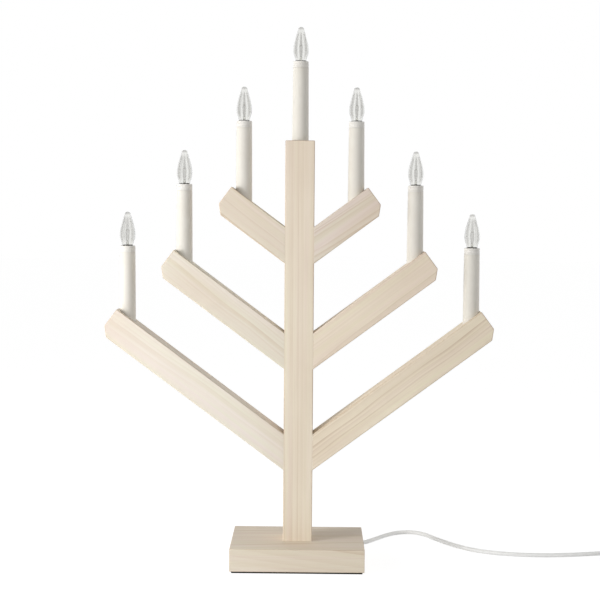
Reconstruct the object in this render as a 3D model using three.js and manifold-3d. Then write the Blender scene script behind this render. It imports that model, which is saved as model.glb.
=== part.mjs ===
// An electric advent candlestick made of square pine stock. A post stands on a block and
// carries three pairs of slanting arms. Seven candles, one on the post and six on the arms,
// each hold a clear flame bulb that screws in. The wires lie in grooves at the back.
// Millimetres, +Z up, front towards -Y, origin in the middle of the pad's underside.

import * as THREE from 'three';
import { mergeVertices } from 'three/addons/utils/BufferGeometryUtils.js';
import Module from 'manifold-3d';

const wasm = await Module();
wasm.setup();

// Wood
const stock = 28.5;
const easedEdge = 0.8;
const baseCorner = 3;
const baseWidth = 130;
const baseDepth = 100;
const baseHeight = 22;
const postLength = 392;
const armSlope = THREE.MathUtils.degToRad(36.6);
const armEndChamfer = 8;
const glueGap = 0.3;
const padThickness = 1.8;
const padInset = 1.8;

// Arms, by their level. Drop is how far an arm's middle line at the post is below the post's
// top, length runs along that line, setback is how far the candle stands in from the arm's
// tip, and seat is how deep its foot is sunk below the arm's top face.
const lowerDrop = 304;
const lowerLength = 214.2;
const lowerSetback = 9;
const lowerSeat = 11.6;
const middleDrop = 204.4;
const middleLength = 145;
const middleSetback = 9.2;
const middleSeat = 9.2;
const upperDrop = 101.3;
const upperLength = 75.4;
const upperSetback = 11.5;
const upperSeat = 7.4;
const postSeat = 3;

// Joinery
const fitGap = 0.3;
const dowelRadius = 3;
const dowelDepth = -2;
const dowelRise = { upper: 6, lower: -5 };
const dowelReach = { upper: 30, lower: 22 };
const screwSpread = 7;
const screwDepth = -4;
const screwRadius = 2;
const screwHeadRadius = 4;
const screwHeadHeight = 2.4;
const screwLength = 48;

// Candle sleeve and socket
const candleHeight = 80;
const sleeveFootRadius = 8.1;
const sleeveTopRadius = 7.6;
const sleeveWall = 1.1;
const sleeveFloor = 2;
const spigotRadius = 3.7;
const spigotBore = 2.3;
const spigotLength = 5;
const collarHeight = 6.2;
const collarEase = 0.7;
const socketBase = 6;

// Bulb with an E10 screw cap, thread pitch 1.814
const capRadius = 4.75;
const capWall = 0.4;
const capLength = 10.8;
const capBelowRim = 1;
const bulbHeight = 32.9;
const bulbRadius = 7.7;
const bulbFootRadius = 5.5;
const bulbNeckRadius = 3.95;
const bulbNeckLength = 6;
const glassWall = 0.7;
const tipRadius = 3.2;
const tipHeight = 2;

// Wiring
const wireRadius = 0.9;
const wireBend = 2;
const wirePairHalf = 0.75;
const wireRiserHalf = 0.95;
const trunkHalf = 1.2;
const grooveDepth = 5.5;
const trunkGroove = 6;
const armGroove = 5;
const crossHoleRadius = 2.6;
const riserBoreRadius = spigotRadius + fitGap;
const riserBoreBelow = 3;
const topCrossBelow = 20;

// Terminals in the base
const cavityWidth = 44;
const cavityFront = 8;
const cavityBack = 43;
const cavityDepth = 14.5;
const baseWireHole = 2.7;
const blockWidth = 20;
const blockDepth = 11;
const blockHeight = 11;
const blockFront = 19;
const terminalHalf = 4;
const terminalScrewRadius = 1.6;
const terminalScrewDepth = 3;

// Cord, strain relief, coil and plug
const cordRadius = 2.1;
const cordSides = 10;
const cordSteps = 44;
const exitHeight = 9.5;
const reliefNeck = 3.8;
const reliefFlange = 6.4;
const reliefFlangeDepth = 2;
const reliefTailRadius = 5;
const reliefTipRadius = 2.9;
const reliefTail = 20;
const coilCentre = new THREE.Vector2(347, 4);
const coilPitch = 4.7;
const coilLayer = 4.7;
const coiledLength = 1360;
const coilTurns = 8.25;
const coilSteps = 24;
const coilSides = 6;
const plugHeight = 13.7;
const plugWidth = 35.3;
const plugBody = 34;
const plugTail = 16;
const plugTailRadius = 4.1;
const pinRadius = 2;
const pinLength = 19;
const pinHalf = 9.1;

// Facets of a full turn
const fine = 16;
const plain = 12;
const wireSides = 6;

// Heights that follow from the sizes above
const baseTop = padThickness + baseHeight;
const postTop = baseTop + postLength;
const half = stock / 2;
const slope = Math.tan(armSlope);
const armHalfRise = half / Math.cos(armSlope);
const wireDepth = half - grooveDepth / 2;
const cordFloor = cordRadius + 0.1;
const reliefTip = baseDepth / 2 + reliefTail;

function levelOf(name, drop, length, setback, seat) {
  return { name, height: postTop - drop, length, setback, seat };
}

const levels = [
  levelOf('lower', lowerDrop, lowerLength, lowerSetback, lowerSeat),
  levelOf('middle', middleDrop, middleLength, middleSetback, middleSeat),
  levelOf('upper', upperDrop, upperLength, upperSetback, upperSeat),
];

// The cord's way over the floor from the strain relief to the coil, chosen by hand
const cordRoute = [
  [0, reliefTip + fitGap, exitHeight],
  [0, 74, 9.3],
  [1.6, 81.2, 8.6],
  [6.1, 87, 7.4],
  [12.6, 90.4, 5.8],
  [20, 90.7, 4.2],
  [26.8, 87.9, 2.9],
  [35.5, 80.3, cordFloor],
  [42.1, 73.9, cordFloor],
  [48.7, 70, cordFloor],
  [55.5, 68.8, cordFloor],
  [62.3, 70, cordFloor],
  [71.5, 76.8, cordFloor],
  [81.5, 90.3, cordFloor],
  [94.4, 108.5, cordFloor],
  [106.5, 119.4, cordFloor],
  [119.5, 122.7, cordFloor],
  [132.5, 114.9, cordFloor],
  [144.3, 94.4, cordFloor],
  [155.5, 75.2, cordFloor],
  [166.4, 59.4, cordFloor],
  [179, 46, cordFloor],
  [196, 35.5, cordFloor],
  [220, 28, cordFloor],
  [250, 26, cordFloor],
  [280, 29.5, cordFloor],
  [306, 36, cordFloor],
  [322, 39, cordFloor],
  [334, 40, cordFloor],
];

const group = new THREE.Group();

function finish(color, roughness, metalness = 0) {
  return new THREE.MeshStandardMaterial({ color, roughness, metalness });
}

const finishes = {
  wood: finish(0xe9dcc8, 0.75),
  dowel: finish(0xd9b98c, 0.7),
  felt: finish(0x26221e, 0.95),
  ivory: finish(0xf4f1e8, 0.4),
  glass: finish(0xf2f6f4, 0.05),
  brass: finish(0xc9a04f, 0.3, 1),
  steel: finish(0xb8babc, 0.35, 1),
  white: finish(0xf1f1ef, 0.45),
};
finishes.glass.transparent = true;
finishes.glass.opacity = 0.35;

function add(name, geometry, material) {
  const mesh = new THREE.Mesh(geometry, finishes[material].clone());
  mesh.name = name;
  group.add(mesh);
  return mesh;
}

// Solids and the cuts and joins between them

function merged(geometry) {
  const bare = geometry.clone();
  bare.deleteAttribute('normal');
  bare.deleteAttribute('uv');
  const whole = mergeVertices(bare, 1e-4);
  const corners = whole.index.array;
  const kept = [];
  for (let i = 0; i < corners.length; i += 3) {
    const [a, b, c] = corners.slice(i, i + 3);
    if (a !== b && b !== c && c !== a) kept.push(a, b, c);
  }
  whole.setIndex(kept);
  return whole;
}

function toSolid(geometry) {
  const whole = merged(geometry);
  return new wasm.Manifold(new wasm.Mesh({
    numProp: 3,
    vertProperties: Float32Array.from(whole.attributes.position.array),
    triVerts: Uint32Array.from(whole.index.array),
  }));
}

function toGeometry(solid) {
  const mesh = solid.getMesh();
  const geometry = new THREE.BufferGeometry();
  geometry.setAttribute('position', new THREE.BufferAttribute(mesh.vertProperties, 3));
  geometry.setIndex(new THREE.BufferAttribute(mesh.triVerts, 1));
  return geometry;
}

function cut(body, tools) {
  let solid = toSolid(body);
  for (const tool of tools) solid = solid.subtract(toSolid(tool));
  return toGeometry(solid);
}

function join(parts) {
  let solid = toSolid(parts[0]);
  for (const part of parts.slice(1)) solid = solid.add(toSolid(part));
  return toGeometry(solid);
}

// Basic shapes. A turned piece is given as [radius, height] pairs, from the bottom middle
// up its outside and back down its inside.

function turned(profile, sides = fine) {
  const points = profile.map(([radius, height]) => new THREE.Vector2(radius, height));
  const onAxis = profile[0][0] === 0 && profile.at(-1)[0] === 0;
  if (!onAxis) points.push(points[0].clone());
  return merged(new THREE.LatheGeometry(points, sides)).rotateX(Math.PI / 2);
}

function rod(radius, from, to, sides = plain) {
  const way = new THREE.Vector3().subVectors(to, from);
  const geometry = new THREE.CylinderGeometry(radius, radius, way.length(), sides);
  const turn = new THREE.Quaternion().setFromUnitVectors(
    new THREE.Vector3(0, 1, 0), way.clone().normalize());
  geometry.applyQuaternion(turn);
  return geometry.translate(...from.clone().addScaledVector(way, 0.5));
}

function block(low, high) {
  const size = new THREE.Vector3().subVectors(high, low);
  const middle = new THREE.Vector3().addVectors(low, high).multiplyScalar(0.5);
  return new THREE.BoxGeometry(size.x, size.y, size.z).translate(...middle);
}

function at(x, y, z) {
  return new THREE.Vector3(x, y, z);
}

// A board or post lying flat in its outline, with its front and back edges eased.
function easedPlate(points, thickness, ease) {
  return new THREE.ExtrudeGeometry(new THREE.Shape(points), {
    depth: thickness - 2 * ease,
    bevelThickness: ease,
    bevelSize: ease,
    bevelOffset: -ease,
    bevelSegments: 2,
  }).translate(0, 0, ease);
}

function roundedRectangle(width, depth, radius, steps = 2) {
  const points = [];
  for (let corner = 0; corner < 4; corner += 1) {
    const right = corner === 0 || corner === 3 ? 1 : -1;
    const back = corner < 2 ? 1 : -1;
    for (let step = 0; step <= steps; step += 1) {
      const turn = (corner + step / steps) * Math.PI / 2;
      points.push(new THREE.Vector2(
        right * (width / 2 - radius) + radius * Math.cos(turn),
        back * (depth / 2 - radius) + radius * Math.sin(turn)));
    }
  }
  return points;
}

// A tube through points, with a flat ring of corners at each and closed ends.
function sweep(points, radius, sides) {
  const corners = [];
  const faces = [];
  const last = points.length - 1;
  let up = new THREE.Vector3(0, 0, 1);
  points.forEach((point, index) => {
    const before = points[Math.max(index - 1, 0)];
    const after = points[Math.min(index + 1, last)];
    const way = new THREE.Vector3();
    if (index > 0) way.add(point.clone().sub(before).normalize());
    if (index < last) way.add(after.clone().sub(point).normalize());
    way.normalize();
    if (Math.abs(up.dot(way)) > 0.99) up = new THREE.Vector3(1, 0, 0);
    up = up.clone().addScaledVector(way, -up.dot(way)).normalize();
    const aside = new THREE.Vector3().crossVectors(way, up);
    for (let side = 0; side < sides; side += 1) {
      const turn = side / sides * 2 * Math.PI;
      corners.push(...point.clone()
        .addScaledVector(up, radius * Math.cos(turn))
        .addScaledVector(aside, radius * Math.sin(turn)));
    }
  });
  for (let index = 0; index < last; index += 1) {
    for (let side = 0; side < sides; side += 1) {
      const a = index * sides + side;
      const b = index * sides + (side + 1) % sides;
      faces.push(a, b, b + sides, a, b + sides, a + sides);
    }
  }
  for (let side = 1; side < sides - 1; side += 1) {
    const end = last * sides;
    faces.push(0, side + 1, side, end, end + side, end + side + 1);
  }
  const geometry = new THREE.BufferGeometry();
  geometry.setAttribute('position', new THREE.Float32BufferAttribute(corners, 3));
  geometry.setIndex(faces);
  return geometry;
}

// The same way with each corner rounded to a bend.
function bent(points, radius, steps = 2) {
  const way = [points[0]];
  for (let index = 1; index < points.length - 1; index += 1) {
    const corner = points[index];
    const back = points[index - 1].clone().sub(corner).normalize();
    const on = points[index + 1].clone().sub(corner).normalize();
    const turn = Math.PI - back.angleTo(on);
    const reach = radius * Math.tan(turn / 2);
    const middle = back.clone().add(on).normalize();
    const centre = corner.clone().addScaledVector(middle, radius / Math.cos(turn / 2));
    const start = corner.clone().addScaledVector(back, reach).sub(centre);
    const axis = new THREE.Vector3().crossVectors(on, back).normalize();
    for (let step = 0; step <= steps; step += 1) {
      const spoke = start.clone().applyAxisAngle(axis, turn * step / steps);
      way.push(centre.clone().add(spoke));
    }
  }
  way.push(points.at(-1));
  return way;
}

// Places on the arms. Distances out from the post's middle are the same left and right.

function middleLine(level, out) {
  return level.height + (out - half) * slope;
}

function armTip(level) {
  return half + level.length * Math.cos(armSlope) - half * Math.sin(armSlope);
}

function candleOut(level) {
  return armTip(level) - level.setback;
}

function candleFoot(level) {
  return middleLine(level, candleOut(level)) + armHalfRise - level.seat;
}

// Wood

function armOutline(side, level) {
  const point = (along, across) => new THREE.Vector2(
    side * (half + along * Math.cos(armSlope) - across * Math.sin(armSlope)),
    level.height + along * Math.sin(armSlope) + across * Math.cos(armSlope));
  return [
    point(-stock, -half),
    point(level.length - armEndChamfer, -half),
    point(level.length, -half + armEndChamfer),
    point(level.length, half),
    point(-stock, half),
  ];
}

function wireGroove(side, level) {
  const out = candleOut(level);
  const length = out / Math.cos(armSlope);
  const middle = middleLine(level, out / 2);
  return new THREE.BoxGeometry(length, grooveDepth * 2, armGroove)
    .rotateY(-side * armSlope)
    .translate(side * out / 2, half, middle);
}

function dowelPlaces(level) {
  return ['upper', 'lower'].map((place) => ({
    place,
    reach: dowelReach[place],
    height: level.height + dowelRise[place],
  }));
}

function dowelBores(level) {
  return dowelPlaces(level).map(({ reach, height }) => rod(dowelRadius + fitGap,
    at(-reach - fitGap, dowelDepth, height), at(reach + fitGap, dowelDepth, height)));
}

function arm(side, level) {
  const plate = easedPlate(armOutline(side, level), stock, easedEdge)
    .rotateX(Math.PI / 2).translate(0, half, 0);
  const x = side * candleOut(level);
  const foot = candleFoot(level);
  const middle = middleLine(level, candleOut(level));
  const inner = Math.min(side * (half + glueGap), side * -2 * stock);
  const outer = Math.max(side * (half + glueGap), side * -2 * stock);
  return cut(plate, [
    block(at(inner, -stock, level.height - 4 * stock), at(outer, stock, level.height + stock)),
    rod(sleeveFootRadius + fitGap, at(x, 0, foot), at(x, 0, foot + 2 * stock), fine),
    rod(riserBoreRadius, at(x, 0, middle - riserBoreBelow), at(x, 0, foot + 1)),
    rod(crossHoleRadius, at(x, 0, middle), at(x, stock, middle)),
    wireGroove(side, level),
    ...dowelBores(level),
  ]);
}

function post() {
  const bar = easedPlate(roundedRectangle(stock, stock, easedEdge), postLength, easedEdge / 2)
    .translate(0, 0, baseTop);
  const topCross = postTop - topCrossBelow;
  const tools = [
    rod(sleeveFootRadius + fitGap, at(0, 0, postTop - postSeat), at(0, 0, postTop + 1), fine),
    rod(riserBoreRadius, at(0, 0, topCross - riserBoreBelow), at(0, 0, postTop)),
    rod(crossHoleRadius, at(0, 0, topCross), at(0, stock, topCross)),
    block(at(-trunkGroove / 2, half - grooveDepth, 0), at(trunkGroove / 2, stock, topCross)),
  ];
  for (const level of levels) {
    tools.push(wireGroove(-1, level), wireGroove(1, level), ...dowelBores(level));
  }
  for (const side of [-1, 1]) tools.push(screwShape(side, fitGap));
  return cut(bar, tools);
}

function base() {
  const slab = easedPlate(
    roundedRectangle(baseWidth, baseDepth, baseCorner), baseHeight, easedEdge)
    .translate(0, 0, padThickness);
  const roof = padThickness + cavityDepth;
  return cut(slab, [
    block(at(-cavityWidth / 2, cavityFront, 0), at(cavityWidth / 2, cavityBack, roof)),
    rod(baseWireHole, at(0, wireDepth, roof - 1), at(0, wireDepth, baseTop + 1)),
    rod(reliefNeck + fitGap, at(0, cavityBack - 1, exitHeight), at(0, baseDepth, exitHeight)),
    screwShape(-1, fitGap),
    screwShape(1, fitGap),
  ]);
}

function pad() {
  const sheet = roundedRectangle(
    baseWidth - 2 * padInset, baseDepth - 2 * padInset, baseCorner);
  return new THREE.ExtrudeGeometry(new THREE.Shape(sheet), {
    depth: padThickness,
    bevelEnabled: false,
  });
}

// A countersunk screw from below, or with a gap all round the bore that it goes in.
function screwShape(side, gap = 0) {
  const foot = padThickness + fitGap - gap * 2;
  const cone = padThickness + fitGap + screwHeadHeight;
  const end = padThickness + fitGap + screwLength;
  return turned([
    [0, foot],
    [screwHeadRadius + gap, foot],
    [screwHeadRadius + gap, padThickness + fitGap + gap],
    [screwRadius + gap, cone + gap],
    [screwRadius + gap, end - 2 * screwRadius],
    [0, end + gap],
  ], plain).translate(side * screwSpread, screwDepth, 0);
}

// Candles, each drawn with its foot at height 0

const collarFoot = candleHeight - collarHeight;
const socketRadius = sleeveTopRadius - sleeveWall - 0.4;
const capFoot = candleHeight - capBelowRim - capLength;
const tipFoot = capFoot - fitGap - tipHeight;
const socketFloor = tipFoot - fitGap;
const socketFoot = socketFloor - socketBase;

function sleeve() {
  return turned([
    [spigotBore, -spigotLength],
    [spigotRadius, -spigotLength],
    [spigotRadius, 0],
    [sleeveFootRadius, 0],
    [sleeveTopRadius, collarFoot - fitGap],
    [sleeveTopRadius - sleeveWall, collarFoot - fitGap],
    [sleeveFootRadius - sleeveWall, sleeveFloor],
    [spigotBore, sleeveFloor],
  ]);
}

function socket() {
  return turned([
    [0, socketFoot],
    [socketRadius, socketFoot],
    [socketRadius, collarFoot],
    [sleeveTopRadius, collarFoot],
    [sleeveTopRadius, candleHeight - collarEase],
    [sleeveTopRadius - collarEase, candleHeight],
    [capRadius + fitGap, candleHeight],
    [capRadius + fitGap, socketFloor],
    [0, socketFloor],
  ]);
}

// Half outline of the flame, its foot at height 0, or of the hollow inside a wall of glass
function flame(steps, shrink = 0) {
  const curve = new THREE.SplineCurve([
    new THREE.Vector2(bulbFootRadius - shrink, shrink),
    new THREE.Vector2(bulbRadius * 0.9 - shrink, bulbHeight * 0.17),
    new THREE.Vector2(bulbRadius - shrink, bulbHeight * 0.34),
    new THREE.Vector2(bulbRadius * 0.79 - shrink, bulbHeight * 0.63),
    new THREE.Vector2(bulbRadius * 0.47 - shrink, bulbHeight * 0.87),
    new THREE.Vector2(bulbRadius * 0.38 - shrink, bulbHeight * 0.94),
  ]);
  const outline = curve.getPoints(steps).map((point) => [point.x, point.y]);
  return [...outline, [bulbRadius * 0.22 - shrink / 2, bulbHeight * 0.985 - shrink],
    [0, bulbHeight - shrink]];
}

function bulbGlass() {
  const foot = candleHeight + fitGap;
  const raised = (points) => points.map(([radius, height]) => [radius, foot + height]);
  return turned([
    [bulbNeckRadius - glassWall, candleHeight - bulbNeckLength],
    [bulbNeckRadius, candleHeight - bulbNeckLength],
    [bulbNeckRadius, foot],
    ...raised(flame(6)),
    ...raised(flame(4, glassWall)).reverse(),
  ]);
}

function bulbCap() {
  return turned([
    [0, capFoot],
    [capRadius - 1, capFoot],
    [capRadius, capFoot + 1],
    [capRadius, capFoot + capLength],
    [capRadius - capWall, capFoot + capLength],
    [capRadius - capWall, capFoot + 1.5],
    [0, capFoot + 1.5],
  ]);
}

function bulbTip() {
  return turned([
    [0, tipFoot],
    [tipRadius * 0.4, tipFoot],
    [tipRadius * 0.6, tipFoot + tipHeight * 0.5],
    [tipRadius, tipFoot + tipHeight * 0.6],
    [tipRadius, tipFoot + tipHeight],
    [0, tipFoot + tipHeight],
  ], plain);
}

function candle(name, x, foot) {
  const pieces = [
    ['sleeve', sleeve(), 'ivory'],
    ['socket', socket(), 'ivory'],
    ['bulb_glass', bulbGlass(), 'glass'],
    ['bulb_cap', bulbCap(), 'brass'],
    ['bulb_tip', bulbTip(), 'steel'],
  ];
  for (const [piece, geometry, material] of pieces) {
    add(`${piece}_${name}`, geometry, material).position.set(x, 0, foot);
  }
}

// Wiring: one wire from the terminals up to the lower candle, one from each candle to the
// next, and one to the candle on the post. The same wires, mirrored, come down the other side.

function lineAt(side, level, out, across) {
  return at(side * out, wireDepth, middleLine(level, out) + across / Math.cos(armSlope));
}

// Corners of the way from the post's groove out to a candle's socket.
function wayOut(side, level, across) {
  const out = candleOut(level) - Math.sign(across) * wireRiserHalf;
  const elbow = lineAt(side, level, out, across);
  return [
    lineAt(side, level, trunkHalf, across),
    elbow,
    at(elbow.x, 0, elbow.z),
    at(elbow.x, 0, candleFoot(level) + socketFoot - fitGap),
  ];
}

function loom(side) {
  const terminalHeight = padThickness + cavityDepth - fitGap - blockHeight / 2;
  let way = [
    at(side * terminalHalf, blockFront - fitGap, terminalHeight),
    at(side * trunkHalf, wireDepth, terminalHeight),
  ];
  const wires = [];
  for (const level of levels) {
    wires.push([...way, ...wayOut(side, level, -wirePairHalf)]);
    way = wayOut(side, level, wirePairHalf).reverse();
  }
  const cross = postTop - topCrossBelow;
  wires.push([
    ...way,
    at(side * trunkHalf, wireDepth, cross),
    at(side * trunkHalf, 0, cross),
    at(side * trunkHalf, 0, postTop - postSeat + socketFoot - fitGap),
  ]);
  return join(wires.map((way) => sweep(bent(way, wireBend), wireRadius, wireSides)));
}

// Base fittings

function terminalBlock() {
  const roof = padThickness + cavityDepth - fitGap;
  const body = block(at(-blockWidth / 2, blockFront, roof - blockHeight),
    at(blockWidth / 2, blockFront + blockDepth, roof));
  const middle = blockFront + blockDepth / 2;
  return cut(body, [-1, 1].map((side) => rod(terminalScrewRadius,
    at(side * terminalHalf, middle, roof - blockHeight - 1),
    at(side * terminalHalf, middle, roof - blockHeight + terminalScrewDepth))));
}

// The strain relief is moulded on the cord: its flange inside, neck in the wall, tail outside.
function strainRelief() {
  const wallBack = baseDepth / 2 + fitGap;
  const profile = [
    [0, cavityBack - fitGap - reliefFlangeDepth],
    [reliefFlange - 1, cavityBack - fitGap - reliefFlangeDepth],
    [reliefFlange - 1, cavityBack - fitGap],
    [reliefNeck, cavityBack - fitGap],
    [reliefNeck, wallBack],
    [reliefFlange, wallBack],
    [reliefFlange, wallBack + reliefFlangeDepth],
    [reliefTailRadius, wallBack + reliefFlangeDepth],
    [reliefTipRadius, reliefTip],
    [0, reliefTip],
  ];
  return turned(profile).rotateX(-Math.PI / 2).translate(0, 0, exitHeight);
}

// The cord's stripped end behind the terminals: its jacket and its two cores.
function cordCores() {
  const start = cavityBack - 2 * fitGap - reliefFlangeDepth;
  const jacketEnd = start - 3;
  const blockBack = blockFront + blockDepth + fitGap;
  const parts = [rod(cordRadius, at(0, start, exitHeight), at(0, jacketEnd, exitHeight))];
  for (const side of [-1, 1]) {
    parts.push(sweep(bent([
      at(side * wireRadius, jacketEnd + 1, exitHeight),
      at(side * wireRadius, jacketEnd - 1, exitHeight),
      at(side * terminalHalf, blockBack + 2, exitHeight),
      at(side * terminalHalf, blockBack, exitHeight),
    ], 0.8), wireRadius, wireSides));
  }
  return join(parts);
}

// Cord on the floor

function ring(radius, sides) {
  const points = [];
  for (let side = 0; side < sides; side += 1) {
    const turn = side / sides * 2 * Math.PI;
    points.push(new THREE.Vector2(radius * Math.cos(turn), radius * Math.sin(turn)));
  }
  return new THREE.Shape(points);
}

const cordDiameter = 2 * cordRadius;
const coilMean = coiledLength / (2 * Math.PI * coilTurns);
const coilInside = coilMean - coilPitch * coilTurns / 4;

// The coil winds in at a steady rate and out again, rounded off where it reverses.
function coilRadius(turn) {
  return coilInside + coilPitch * Math.hypot(turn - coilTurns / 2, 0.05);
}

function cordCurve() {
  const coilEntry = [coilCentre.x - cordDiameter - fitGap, coilCentre.y + coilRadius(0), cordFloor];
  const points = [...cordRoute, coilEntry].map((point) => at(...point));
  return new THREE.CatmullRomCurve3(points, false, 'centripetal');
}

function cordFlex(curve) {
  return new THREE.ExtrudeGeometry(ring(cordRadius, cordSides), {
    steps: cordSteps,
    extrudePath: curve,
  });
}

// The coil's middle line: in on the floor, up a layer in the half turn where it reverses,
// and out again on top.
function coilLine() {
  const middle = coilTurns / 2;
  const points = [at(coilCentre.x - cordDiameter, coilCentre.y + coilRadius(0), cordFloor)];
  const count = Math.round(coilTurns * coilSteps);
  for (let step = 0; step <= count; step += 1) {
    const turn = step / coilSteps;
    const angle = Math.PI / 2 - turn * 2 * Math.PI;
    const climb = THREE.MathUtils.clamp((turn - middle) * 2 + 0.5, 0, 1);
    points.push(at(
      coilCentre.x + coilRadius(turn) * Math.cos(angle),
      coilCentre.y + coilRadius(turn) * Math.sin(angle),
      cordFloor + coilLayer * (1 - Math.cos(Math.PI * climb)) / 2));
  }
  points.push(points.at(-1).clone().add(at(0, -cordDiameter, 0)));
  return points;
}

function leastSelfGap(points) {
  let least = Infinity;
  for (let i = 0; i < points.length; i += 1) {
    for (let j = i + coilSteps / 2; j < points.length; j += 1) {
      least = Math.min(least, points[i].distanceTo(points[j]));
    }
  }
  return least - cordDiameter;
}

function lineLength(points) {
  return points.slice(1).reduce((sum, point, i) => sum + point.distanceTo(points[i]), 0);
}

// A two-pin plug lying flat, its tail at the coil's end and its pins towards -Y.
function plug(start) {
  const middle = plugHeight / 2;
  const tailFoot = start.y - fitGap;
  const bodyBack = tailFoot - plugTail;
  const face = bodyBack - plugBody;
  const outline = [
    new THREE.Vector2(-plugTailRadius - 2, bodyBack),
    new THREE.Vector2(-plugWidth / 2 + 3, bodyBack - plugBody * 0.6),
    new THREE.Vector2(-plugWidth / 2, face),
    new THREE.Vector2(plugWidth / 2, face),
    new THREE.Vector2(plugWidth / 2 - 3, bodyBack - plugBody * 0.6),
    new THREE.Vector2(plugTailRadius + 2, bodyBack),
  ];
  const tail = turned([
    [0, -1],
    [plugTailRadius, -1],
    [cordRadius + 0.8, plugTail],
    [0, plugTail],
  ]).rotateX(-Math.PI / 2).translate(0, bodyBack, middle);
  const parts = [easedPlate(outline, plugHeight, 2), tail];
  for (const side of [-1, 1]) {
    parts.push(rod(pinRadius, at(side * pinHalf, face + 1, middle),
      at(side * pinHalf, face - pinLength, middle)));
  }
  return join(parts).translate(start.x, 0, 0);
}

// The whole candlestick

add('base_pad', pad(), 'felt');
add('base_block', base(), 'wood');
add('post', post(), 'wood');
for (const [side, hand] of [[-1, 'left'], [1, 'right']]) {
  for (const level of levels) {
    const x = side * candleOut(level);
    add(`arm_${level.name}_${hand}`, arm(side, level), 'wood');
    candle(`${level.name}_${hand}`, x, candleFoot(level));
  }
  add(`loom_${hand}`, loom(side), 'white');
  add(`base_screw_${hand}`, screwShape(side), 'steel');
}
candle('top', 0, postTop - postSeat);
for (const level of levels) {
  for (const { place, reach, height } of dowelPlaces(level)) {
    const from = at(-reach, dowelDepth, height);
    add(`dowel_${level.name}_${place}`, rod(dowelRadius, from, at(reach, dowelDepth, height)),
      'dowel');
  }
}
add('terminal_block', terminalBlock(), 'white');
add('cord_cores', cordCores(), 'white');
add('strain_relief', strainRelief(), 'white');

const freeCord = cordCurve();
const coil = coilLine();
add('cord_flex', cordFlex(freeCord), 'white');
add('cord_coil', sweep(coil, cordRadius, coilSides), 'white');
add('plug', plug(coil.at(-1)), 'white');

const madeLength = freeCord.getLength() + lineLength(coil);
console.log(`coil: least gap to itself ${leastSelfGap(coil).toFixed(2)} mm`);
console.log(`cord: ${madeLength.toFixed(0)} mm from the strain relief to the plug`);

export default group;
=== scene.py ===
"""Looks of an electric advent candlestick: whitewashed pine boards, seven candle sleeves
with clear fluted flame bulbs, the wires at the back, and a white cord to a two-pin plug.
Metres, +Z up, front towards -Y."""

import math

import bmesh
import bpy
from mathutils import Matrix, Vector


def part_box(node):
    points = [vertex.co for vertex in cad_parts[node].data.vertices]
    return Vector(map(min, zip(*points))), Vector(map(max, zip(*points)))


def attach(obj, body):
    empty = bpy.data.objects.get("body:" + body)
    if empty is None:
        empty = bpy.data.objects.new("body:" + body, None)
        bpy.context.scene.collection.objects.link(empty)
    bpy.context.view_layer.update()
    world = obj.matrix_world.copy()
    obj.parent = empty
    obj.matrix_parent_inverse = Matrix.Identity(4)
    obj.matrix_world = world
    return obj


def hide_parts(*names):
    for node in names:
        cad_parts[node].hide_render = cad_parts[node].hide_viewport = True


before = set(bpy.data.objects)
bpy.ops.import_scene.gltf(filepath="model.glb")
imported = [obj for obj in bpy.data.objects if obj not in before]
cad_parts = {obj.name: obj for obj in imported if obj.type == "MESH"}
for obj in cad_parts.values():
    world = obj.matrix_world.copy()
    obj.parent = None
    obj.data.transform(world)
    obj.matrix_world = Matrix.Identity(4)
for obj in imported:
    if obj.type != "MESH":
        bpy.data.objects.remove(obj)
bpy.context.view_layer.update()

MM = 0.001

# The gap between pieces that don't touch, how near a point counts as on a face or edge, how
# near two points count as one, and how well a face's normal must lie along a direction
GAP = 0.3 * MM
NEAR = 0.01 * MM
SAME = 1e-6
ALIGNED = 0.9999

# Camera, as the photograph was taken
CAMERA_PLACE = (0.0147, -1.3936, 0.3519)
CAMERA_LENS = 85.3
CAMERA_SENSOR = 36
CAMERA_YAW = math.radians(-0.573)
CAMERA_PITCH = math.radians(-3.754)
CAMERA_ROLL = math.radians(0.417)

# Cord
CORD_RADIUS = 2.1 * MM
CORD_FLOOR = 2.2 * MM
COIL_CENTRE = (347 * MM, 4 * MM)
COIL_PITCH = 4.7 * MM
COIL_LAYER = 4.7 * MM
COILED_LENGTH = 1.36
COIL_TURNS = 8.25
COIL_STEPS = 48
COIL_REVERSAL = 0.05

# Plug
PIN_LENGTH = 19 * MM
PIN_RADIUS = 1.85 * MM
PIN_HALF = 9.1 * MM
PIN_SLEEVE_LENGTH = 9.9 * MM
PLUG_TAIL = 16 * MM
PLUG_TAIL_RADIUS = 4.1 * MM
PLUG_ROUND = 2.2 * MM
GRIPS = 5
GRIP_START = 10 * MM
GRIP_PITCH = 3.2 * MM
GRIP_WIDTH = 1.2 * MM
GRIP_HALF = 3.2 * MM
GRIP_OUT = 1.9 * MM
GRIP_STEP = 0.35 * MM

# Strain relief, from its flange in the block's hollow to its ribbed tail outside
WALL_INSIDE = 43 * MM
WALL_OUTSIDE = 50 * MM
RELIEF_FLANGE = 5.4 * MM
RELIEF_NECK = 3.8 * MM
RELIEF_COLLAR = 6.4 * MM
RELIEF_RIBS = 5

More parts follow.
